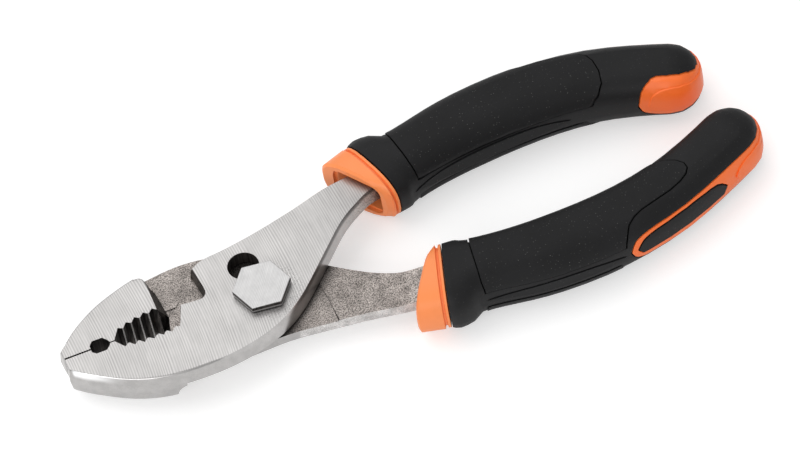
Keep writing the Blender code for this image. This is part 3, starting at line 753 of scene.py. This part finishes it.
def make_finishes(scene):
    """All finishes of the tool, made once by the first piece that asks for them."""
    if "ground_face" in bpy.data.materials:
        return
    steel = scene.pliers_steel
    grip = scene.pliers_grips
    grinding_group()
    grain_group()
    specks_group()
    ground_steel(steel)
    satin_wall(steel)
    forged_steel("forged_skin", steel.forged_colour, level=1.12, spread=(0.28, 1.65))
    forged_steel("forged_edge", steel.ground_colour, level=1.25, spread=(0.75, 1.2))
    # A very dark forged skin, which paints shade on walls in recesses and creases
    forged_steel("oily_wall", steel.forged_colour, level=0.25, spread=(0.1, 1.9))
    dark_steel(steel, "milled_flank", low=0.06, high=0.35, rough=0.4)
    # Dark bore walls: a blackened finish together with painted shade of the deep bores
    dark_steel(steel, "blackened_bore", low=0.2, high=0.6, rough=0.5)
    bolt_steel()
    hard_orange(grip)
    soft_black(grip, "rubber_pad", speckle=1.0, rough=0.62)
    soft_black(grip, "rubber_sleeve", speckle=0.4, rough=0.55)


# The forged halves

class PLIERS_OT_forgings(bpy.types.Operator):
    """Make the two forged halves with ground faces, bright jaw walls and rough forged skin"""
    bl_idname = "pliers.forgings"
    bl_label = "Forged halves"

    def execute(self, context):
        make_finishes(context.scene)
        steel = context.scene.pliers_steel
        names = ("ground_face", "satin_wall", "forged_skin", "milled_flank", "blackened_bore", "forged_edge",
                 "oily_wall")
        for node, body in (("slotted_half", "slotted"), ("plain_half", "plain")):
            piece = copy_solid(node, node.replace("half", "forging"))
            slotted = node == "slotted_half"
            if slotted:
                hollow_step(piece, steel.step_hollow)
            else:
                slope_jaw_end(piece, steel.wall_slope)
                lean_teeth(piece, steel.tooth_lean)
                split_last_flank(piece)
            break_edges(piece, steel.edge_break, sharpness=35, segments=2, wider=(
                (jaw_shoulder, steel.shoulder_round, 4), (tooth_crest, steel.crest_width, 1),
                (lap_crease, steel.crease_width, 2)))
            paint_faces(piece, names, lambda centre, normal: forging_finish(slotted, centre, normal))
            finish_piece(piece, body, "forged_steel", node)
        return {"FINISHED"}


def slope_jaw_end(piece, reach):
    """Draws the foot of the wall behind the plain half's jaw out over the lap face."""
    def drawn_out(point):
        x, y, z = in_mm(point)
        if inside(x, y, WALL_FOOT) and abs(z - MID) < 0.5:
            share = max(0.0, min((SLOPE_END - y) / SLOPE_FADE, 1.0))
            point.x += reach * share * (1 + SPREAD * max(SPREAD_START - y, 0.0))
        return point

    move_points(piece, drawn_out)


def lean_share(x):
    """Share of the full lean at this distance along the tool. It grows over 8 mm."""
    return max(0.0, min((x - LEANING_FEET[0]) / 8, 1.0))


def lean_teeth(piece, reach):
    """Leans the walls of the plain half's coarse teeth, so that their feet reach further in."""
    def leaned(point):
        x, y, z = in_mm(point)
        if inside(x, y, LEANING_FEET) and abs(z - BASE) < 0.05:
            point.y -= reach * lean_share(x)
        elif inside(x, y, LAST_FOOT) and z < MID - 1:
            point.y -= reach * LAST_LEAN
        return point

    move_points(piece, leaned)


def split_last_flank(piece):
    """Splits the flank that runs into the sloped wall, so that it has the last tooth's crest."""
    def is_last_flank(face):
        x, y, z = in_mm(face.calc_center_median())
        return inside(x, y, LAST_FLANK) and BASE + 0.5 < z < TOP - 0.5

    with editing(piece):
        select_parts(piece, "FACE", is_last_flank)
        bpy.ops.mesh.bisect(plane_co=(LAST_SPLIT * MM, 0, 0), plane_no=(1, 0, 0))


def hollow_step(piece, radius):
    """Hollows the step where the slotted half's jaw ends under the lap."""
    deselect_all()
    bpy.ops.mesh.primitive_cylinder_add(
        vertices=64, radius=radius, depth=14 * MM, location=(-23.3 * MM, -11 * MM, JAW_BASE + 0.2 * MM),
        rotation=(math.radians(90), 0, 0))
    combine(piece, placed_primitive(), "DIFFERENCE")


def lap_crease(point):
    """True along the step across the lower neck where the lap face ends."""
    x, y, z = in_mm(point)
    return CREASE_START < x < CREASE_END and y < 3 and abs(z - MID + 0.15) < 0.08


def jaw_shoulder(point):
    """True along the outer shoulders of the jaws' upper ground faces. The plain one spreads over 10 mm."""
    x, y, z = in_mm(point)
    from_tip = x - JAW_START
    low = SLOTTED_SHOULDER[0] + SLOTTED_SHOULDER[1] * from_tip
    high = PLAIN_SHOULDER[0] + PLAIN_SHOULDER[1] * min(from_tip, 10)
    return abs(z - TOP) < 0.02 and x < SHOULDER_BACK and not low < y < high


def crest_level(x, z, slotted):
    """Place of a half's coarse crests across the tool, in millimetres."""
    flat_at, level, bend = SLOTTED_ARC if slotted else PLAIN_ARC
    level += bend * (x - flat_at)**2
    if slotted:
        return level
    lean = bpy.context.scene.pliers_steel.tooth_lean / MM
    return level - lean * lean_share(x) * (TOP - z) / (TOP - BASE)


def tooth_crest(point):
    """True on the crest of a coarse tooth."""
    x, y, z = in_mm(point)
    nearest = min(abs(y - crest_level(x, z, slotted)) for slotted in (True, False))
    return inside(x, y, LAST_CREST) or FIRST_CREST < x < TEETH[1] and nearest < 0.04


def forging_finish(slotted, centre, normal):
    """Name of the finish of a face of a forging, by its place and direction."""
    x, y, z = in_mm(centre)
    level = abs(normal.z) > 0.8
    if level and min(abs(z - TOP), abs(z - BASE)) < 0.1:
        return "ground_face"
    near_pivot = min(math.hypot(x, y), math.hypot(x - FAR_SEAT[0], y - FAR_SEAT[1])) < SEAT_REACH
    # Upright walls round both seats are dark: blackened, with painted shade of the deep bores
    if near_pivot and abs(normal.z) < 0.5:
        return "blackened_bore"
    # The sides of the lap pad and the crease across the lower neck get painted shade
    if not slotted and abs(z - MID) < 0.42 and normal.z < 0.95:
        if inside(x, y, LAP_PAD) or CREASE_START < x < CREASE_END:
            return "oily_wall"
    if level:
        return "forged_skin"
    if x < NOSE_BACK:
        if normal.x < -0.8:
            return "ground_face"
        return "milled_flank" if abs(y - PARTING) < NOSE_GAP and x > TIP_WALL else "satin_wall"
    if x < OVAL_BACK and abs(y - PARTING) < OVAL_GAP:
        return "milled_flank"
    faces_back = normal.x > 0.9 and (slotted or z > MID)
    if inside(x, y, TEETH) and not faces_back:
        on_crest = abs(normal.y) > 0.9 and abs(y - crest_level(x, z, slotted)) < 0.3
        return "forged_edge" if on_crest else "milled_flank"
    if slotted:
        # The slotted half's lap wall under the notch gets painted shade
        if inside(x, y, SLOTTED_LAP_WALL):
            return "oily_wall"
        return "forged_skin" if normal.x > 0.3 and -28.5 < x < -23 else "satin_wall"
    # The wall behind the plain jaw, under the lap, gets painted shade
    if inside(x, y, PLAIN_LAP_WALL) and z > MID - 0.4 and normal.x > 0.3:
        return "oily_wall"
    if x < -24.3 or inside(x, y, JAW_OUTER_WALL):
        return "satin_wall"
    return "forged_edge" if y < -5 else "forged_skin"


# The pivot

class PLIERS_OT_pivot(bpy.types.Operator):
    """Make the pivot bolt and its nut"""
    bl_idname = "pliers.pivot"
    bl_label = "Pivot bolt and nut"

    def execute(self, context):
        make_finishes(context.scene)
        sizes = context.scene.pliers_bolt
        for make, name in ((make_bolt, "bolt"), (make_nut, "nut")):
            piece = make(sizes)
            piece.name = name + "_finished"
            piece.data.name = name + "_finished"
            even_shading(piece, angle=25)
            paint_faces(piece, ("satin_bolt", "milled_flank"), bolt_finish)
            finish_piece(piece, "pivot", "bolt_steel", "pivot_" + name)
        return {"FINISHED"}


def bolt_finish(centre, normal):
    """Name of the finish of a face of the bolt or the nut: dark on the upright sides of the head."""
    on_side = abs(normal.z) < 0.3 and centre.z > JAW_TOP + CLEARANCE + FOOT_HEIGHT
    return "milled_flank" if on_side else "satin_bolt"


def hexagon(sizes, low, high):
    """A six-sided block across the bolt's flats, with its corners turned."""
    return upright_bar(sizes.across_flats / math.sqrt(3), low, high, 6, sizes.head_turn)


def make_bolt(sizes):
    """Hexagon head with broken edges, on a flatted shank and a round journal."""
    low, high = [corner[2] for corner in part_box("pivot_bolt")]
    foot = JAW_TOP + CLEARANCE
    piece = hexagon(sizes, foot, high)
    bevel_edges(piece, lambda first, second: abs(first.z - second.z) > 0.1 * MM, CORNER_BREAK, 3)
    bevel_level(piece, high, sizes.head_chamfer, segments=3)
    bevel_level(piece, foot, FOOT_BREAK, segments=2)
    with editing(piece):
        bpy.ops.mesh.select_all(action="SELECT")
        bpy.ops.mesh.bisect(plane_co=(0, 0, foot + FOOT_HEIGHT), plane_no=(0, 0, 1))
    shank = upright_bar(sizes.shank_radius, MIDDLE - 0.1 * MM, foot + 0.4 * MM)
    with editing(shank):
        for side in (-1, 1):
            across = Vector((SLIP_AXIS.y, -SLIP_AXIS.x, 0)) * side
            bpy.ops.mesh.select_all(action="SELECT")
            bpy.ops.mesh.bisect(plane_co=across * sizes.shank_flats / 2, plane_no=across, use_fill=True,
                                clear_outer=True)
    combine(piece, shank, "UNION")
    journal = upright_bar(sizes.shank_radius, low, MIDDLE - CLEARANCE / 2)
    bevel_level(journal, low, JOURNAL_BREAK, segments=3)
    combine(piece, journal, "UNION")
    return piece


def make_nut(sizes):
    """Hexagon nut with its outer corners turned off in a cone and a clear bore."""
    low, high = [corner[2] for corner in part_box("pivot_nut")]
    piece = hexagon(sizes, low, high)
    combine(piece, upright_bar(sizes.shank_radius + CLEARANCE, low - 1 * MM, high + 1 * MM), "DIFFERENCE")
    deselect_all()
    narrow = sizes.across_flats * 0.485
    bpy.ops.mesh.primitive_cone_add(vertices=96, radius1=narrow, radius2=narrow + 7 * MM, depth=4 * MM,
                                    location=(0, 0, low + 2 * MM))
    combine(piece, placed_primitive(), "INTERSECT")
    return piece


# The grips

def grip_seat(side):
    """Where the grip's own axes lie in the tool."""
    middle = Matrix.Translation((0, 0, MIDDLE))
    if side == "lower":
        return middle @ Matrix.Rotation(math.pi, 4, "X")
    return Matrix.Translation(UPPER_SEAT * MM) @ middle @ Matrix.Rotation(UPPER_TURN, 4, "Z")


class PLIERS_OT_cores(bpy.types.Operator):
    """Make the hard inner sleeves with their guards"""
    bl_idname = "pliers.cores"
    bl_label = "Hard cores"

    def execute(self, context):
        make_finishes(context.scene)
        grips = context.scene.pliers_grips
        for side, body in SIDES:
            piece = copy_solid(side + "_core_sleeve", side + "_core")
            narrow_lip(piece, side, grips.lip_shift)
            cut_mouth_step(piece, side, grips)
            round_handle_end(piece, side)
            break_edges(piece, grips.edge_round, sharpness=35, segments=3)
            paint_faces(piece, ("moulded_orange",), lambda centre, normal: "moulded_orange")
            finish_piece(piece, body, "hard_orange", side + "_core_sleeve")
        return {"FINISHED"}


def narrow_lip(piece, side, shift):
    """Moves the groove before the guard's second lip back towards the sleeve."""
    seat = grip_seat(side)
    back = seat.inverted()

    def moved_back(point):
        place = back @ point
        along, across, up = in_mm(place)
        along -= LIP_ALONG
        across -= LIP_SIDEWAYS
        behind = along * math.cos(LIP_LEAN) + across * math.sin(LIP_LEAN)
        beside = across * math.cos(LIP_LEAN) - along * math.sin(LIP_LEAN)
        outward = (abs(beside) / LIP_ACROSS)**LIP_POWER + (abs(up) / LIP_HIGH)**LIP_POWER
        if not (-0.1 < behind < 1.0 and outward > 0.8):
            return point
        place.x += shift
        return seat @ place

    move_points(piece, moved_back)


def cut_mouth_step(piece, side, grips):
    """Cuts a shallow step with rounded corners into the guard's front face, round its mouth."""
    deselect_all()
    bpy.ops.mesh.primitive_cube_add(size=1.0)
    bpy.ops.transform.resize(value=(2 * grips.step_depth, STEP_ACROSS * MM, STEP_HIGH * MM))
    cutter = placed_primitive()
    shortest = grips.step_depth / 2
    bevel_edges(cutter, lambda first, second: abs(first.x - second.x) > shortest, grips.step_round, 6)
    at_mouth = Matrix.Translation(MOUTH * MM) @ Matrix.Rotation(MOUTH_LEAN, 4, "Z")
    cutter.data.transform(grip_seat(side) @ at_mouth)
    combine(piece, cutter, "DIFFERENCE")


def round_handle_end(piece, side):
    """Subdivides the smooth faces of the handle's rounded end so that their outline runs evenly."""
    back = grip_seat(side).inverted()

    def is_smooth(edge):
        return edge.is_manifold and edge.calc_face_angle(0) <= math.radians(35)

    def is_round_end(face):
        if len(face.verts) > 4 or any((back @ vertex.co).x <= HANDLE_END * MM for vertex in face.verts):
            return False
        return all(is_smooth(edge) for vertex in face.verts for edge in vertex.link_edges)

    with editing(piece):
        select_parts(piece, "FACE", is_round_end)
        bpy.ops.mesh.subdivide(number_cuts=2, smoothness=0.6)


class PLIERS_OT_sleeves(bpy.types.Operator):
    """Make the soft sleeves and the pads let into them"""
    bl_idname = "pliers.sleeves"
    bl_label = "Soft sleeves and pads"

    def execute(self, context):
        make_finishes(context.scene)
        grips = context.scene.pliers_grips
        for side, body in SIDES:
            sleeve = copy_solid(side + "_grip_sleeve", side + "_grip_sleeve_finished")
            round_handle_end(sleeve, side)
            finish_soft(sleeve, side + "_grip_sleeve", body, "rubber_sleeve", grips.edge_round)
            for part in ("long_panel", "swept_panel", "inner_strip", "outer_strip", "window_inset"):
                node = side + "_" + part
                pad = copy_solid(node, node + "_finished")
                finish_soft(pad, node, body, "rubber_pad", grips.pad_round)
        return {"FINISHED"}


def finish_soft(piece, node, body, skin, width):
    """Rounds and paints a soft piece. The lower inset has an orange rim along its lower border."""
    def finish(centre, normal):
        on_rim = node == "lower_window_inset" and centre.z < MIDDLE - RIM_DEPTH
        return "moulded_orange" if on_rim else skin

    break_edges(piece, width, sharpness=40, segments=3)
    paint_faces(piece, (skin, "moulded_orange"), finish)
    finish_piece(piece, body, "soft_black", node)


# The stage

class PLIERS_OT_stage(bpy.types.Operator):
    """Make the floor, the lights, the sky and the camera"""
    bl_idname = "pliers.stage"
    bl_label = "Stage"

    def execute(self, context):
        stage = context.scene.pliers_stage
        make_floor(stage)
        soft_light("key_light", (-0.4, 0.7, 1.3), (1.8, 1.5), stage.key_power)
        soft_light("front_light", (-0.7, -0.9, 0.7), (0.9, 0.7), stage.key_power * 0.6)
        make_sky(context.scene, stage)
        make_camera(context.scene, stage)
        context.scene.view_settings.view_transform = "Standard"
        return {"FINISHED"}


def make_floor(stage):
    """A wide floor that reads as white and keeps the tool's shadow."""
    deselect_all()
    bpy.ops.mesh.primitive_plane_add(size=6.0, location=(0, 0, CAD_BOX[0][2] - 0.2 * MM))
    floor = bpy.context.object
    floor.name = "floor"
    tree = new_material("floor", Roughness=0.9, Base_Color=stage.floor_colour, Specular_IOR_Level=0.1,
                        Emission_Color=WHITE)
    path = add(tree, "LightPath", {})
    seen = calculate(tree, "MAXIMUM", path["Is Camera Ray"], path["Is Glossy Ray"])
    glow = calculate(tree, "MULTIPLY", seen, stage.floor_glow)
    tree.links.new(glow, tree.nodes["Principled BSDF"].inputs["Emission Strength"])
    arrange(tree)
    floor.data.materials.append(bpy.data.materials["floor"])


def soft_light(name, place, size, power):
    """A soft light of a width and height, aimed at the tool."""
    data = bpy.data.lights.new(name, "AREA")
    data.shape = "RECTANGLE"
    data.size, data.size_y = size
    data.energy = power
    light = bpy.data.objects.new(name, data)
    bpy.context.scene.collection.objects.link(light)
    light.location = place
    aim = Vector((0.035, 0, 0)) - Vector(place)
    light.rotation_euler = aim.to_track_quat("-Z", "Y").to_euler()


def make_sky(scene, stage):
    """Even white light, and a white background for the camera and for reflections."""
    world = bpy.data.worlds.new("sky")
    scene.world = world
    world.use_nodes = True
    tree = world.node_tree
    background = tree.nodes["Background"]
    background.inputs["Color"].default_value = WHITE
    path = add(tree, "LightPath", {})
    seen = calculate(tree, "MAXIMUM", path["Is Camera Ray"], path["Is Transmission Ray"])
    tree.links.new(between(tree, seen, stage.sky_strength, 1.0), background.inputs["Strength"])
    arrange(tree)


def make_camera(scene, stage):
    """A long-lens camera at the photograph's angle, framed on the pivot's pixel."""
    sideways = Vector((math.cos(CAMERA_TURN), -math.sin(CAMERA_TURN), 0))
    ahead = Vector((math.sin(CAMERA_TURN), math.cos(CAMERA_TURN), 0))
    level_up = ahead * math.sin(CAMERA_HEIGHT) + Vector((0, 0, 1)) * math.cos(CAMERA_HEIGHT)
    right = sideways * math.cos(CAMERA_ROLL) - level_up * math.sin(CAMERA_ROLL)
    up = sideways * math.sin(CAMERA_ROLL) + level_up * math.cos(CAMERA_ROLL)
    back = right.cross(up)
    target = Vector((0, 0, JAW_TOP)) + right * (IMAGE_WIDTH / 2 - PIVOT_PIXEL[0]) / PIXELS_PER_METRE
    target += up * (PIVOT_PIXEL[1] - IMAGE_HEIGHT / 2) / PIXELS_PER_METRE
    data = bpy.data.cameras.new("camera")
    data.sensor_width = FILM_WIDTH
    data.lens = FILM_WIDTH * PIXELS_PER_METRE * stage.camera_distance / IMAGE_WIDTH
    data.clip_end = 20.0
    camera = bpy.data.objects.new("camera", data)
    scene.collection.objects.link(camera)
    place = Matrix((right, up, back)).transposed().to_4x4()
    place.translation = target + back * stage.camera_distance
    camera.matrix_world = place
    scene.camera = camera


# The sidebar and the run

class PLIERS_PT_sidebar(bpy.types.Panel):
    """Lists the tool's pieces and their sizes and colours"""
    bl_label = "Slip joint pliers"
    bl_idname = "PLIERS_PT_sidebar"
    bl_space_type = "VIEW_3D"
    bl_region_type = "UI"
    bl_category = "Pliers"

    def draw(self, context):
        layout = self.layout
        for owner, operators in (
                (context.scene.pliers_steel, ("pliers.forgings",)),
                (context.scene.pliers_bolt, ("pliers.pivot",)),
                (context.scene.pliers_grips, ("pliers.cores", "pliers.sleeves")),
                (context.scene.pliers_stage, ("pliers.stage",))):
            box = layout.box()
            for name in owner.__annotations__:
                box.prop(owner, name)
            for operator in operators:
                box.operator(operator)


SETTINGS = {"pliers_steel": SteelSettings, "pliers_bolt": BoltSettings, "pliers_grips": GripSettings,
            "pliers_stage": StageSettings}
CLASSES = (*SETTINGS.values(), PLIERS_OT_forgings, PLIERS_OT_pivot, PLIERS_OT_cores, PLIERS_OT_sleeves,
           PLIERS_OT_stage, PLIERS_PT_sidebar)


def register():
    for item in CLASSES:
        bpy.utils.register_class(item)
    for name, kind in SETTINGS.items():
        setattr(bpy.types.Scene, name, PointerProperty(type=kind))


def unregister():
    for name in SETTINGS:
        delattr(bpy.types.Scene, name)
    for item in reversed(CLASSES):
        bpy.utils.unregister_class(item)


def main():
    """Makes every piece and the stage."""
    register()
    bpy.ops.pliers.forgings()
    bpy.ops.pliers.pivot()
    bpy.ops.pliers.cores()
    bpy.ops.pliers.sleeves()
    bpy.ops.pliers.stage()


if __name__ == "__main__":
    main()
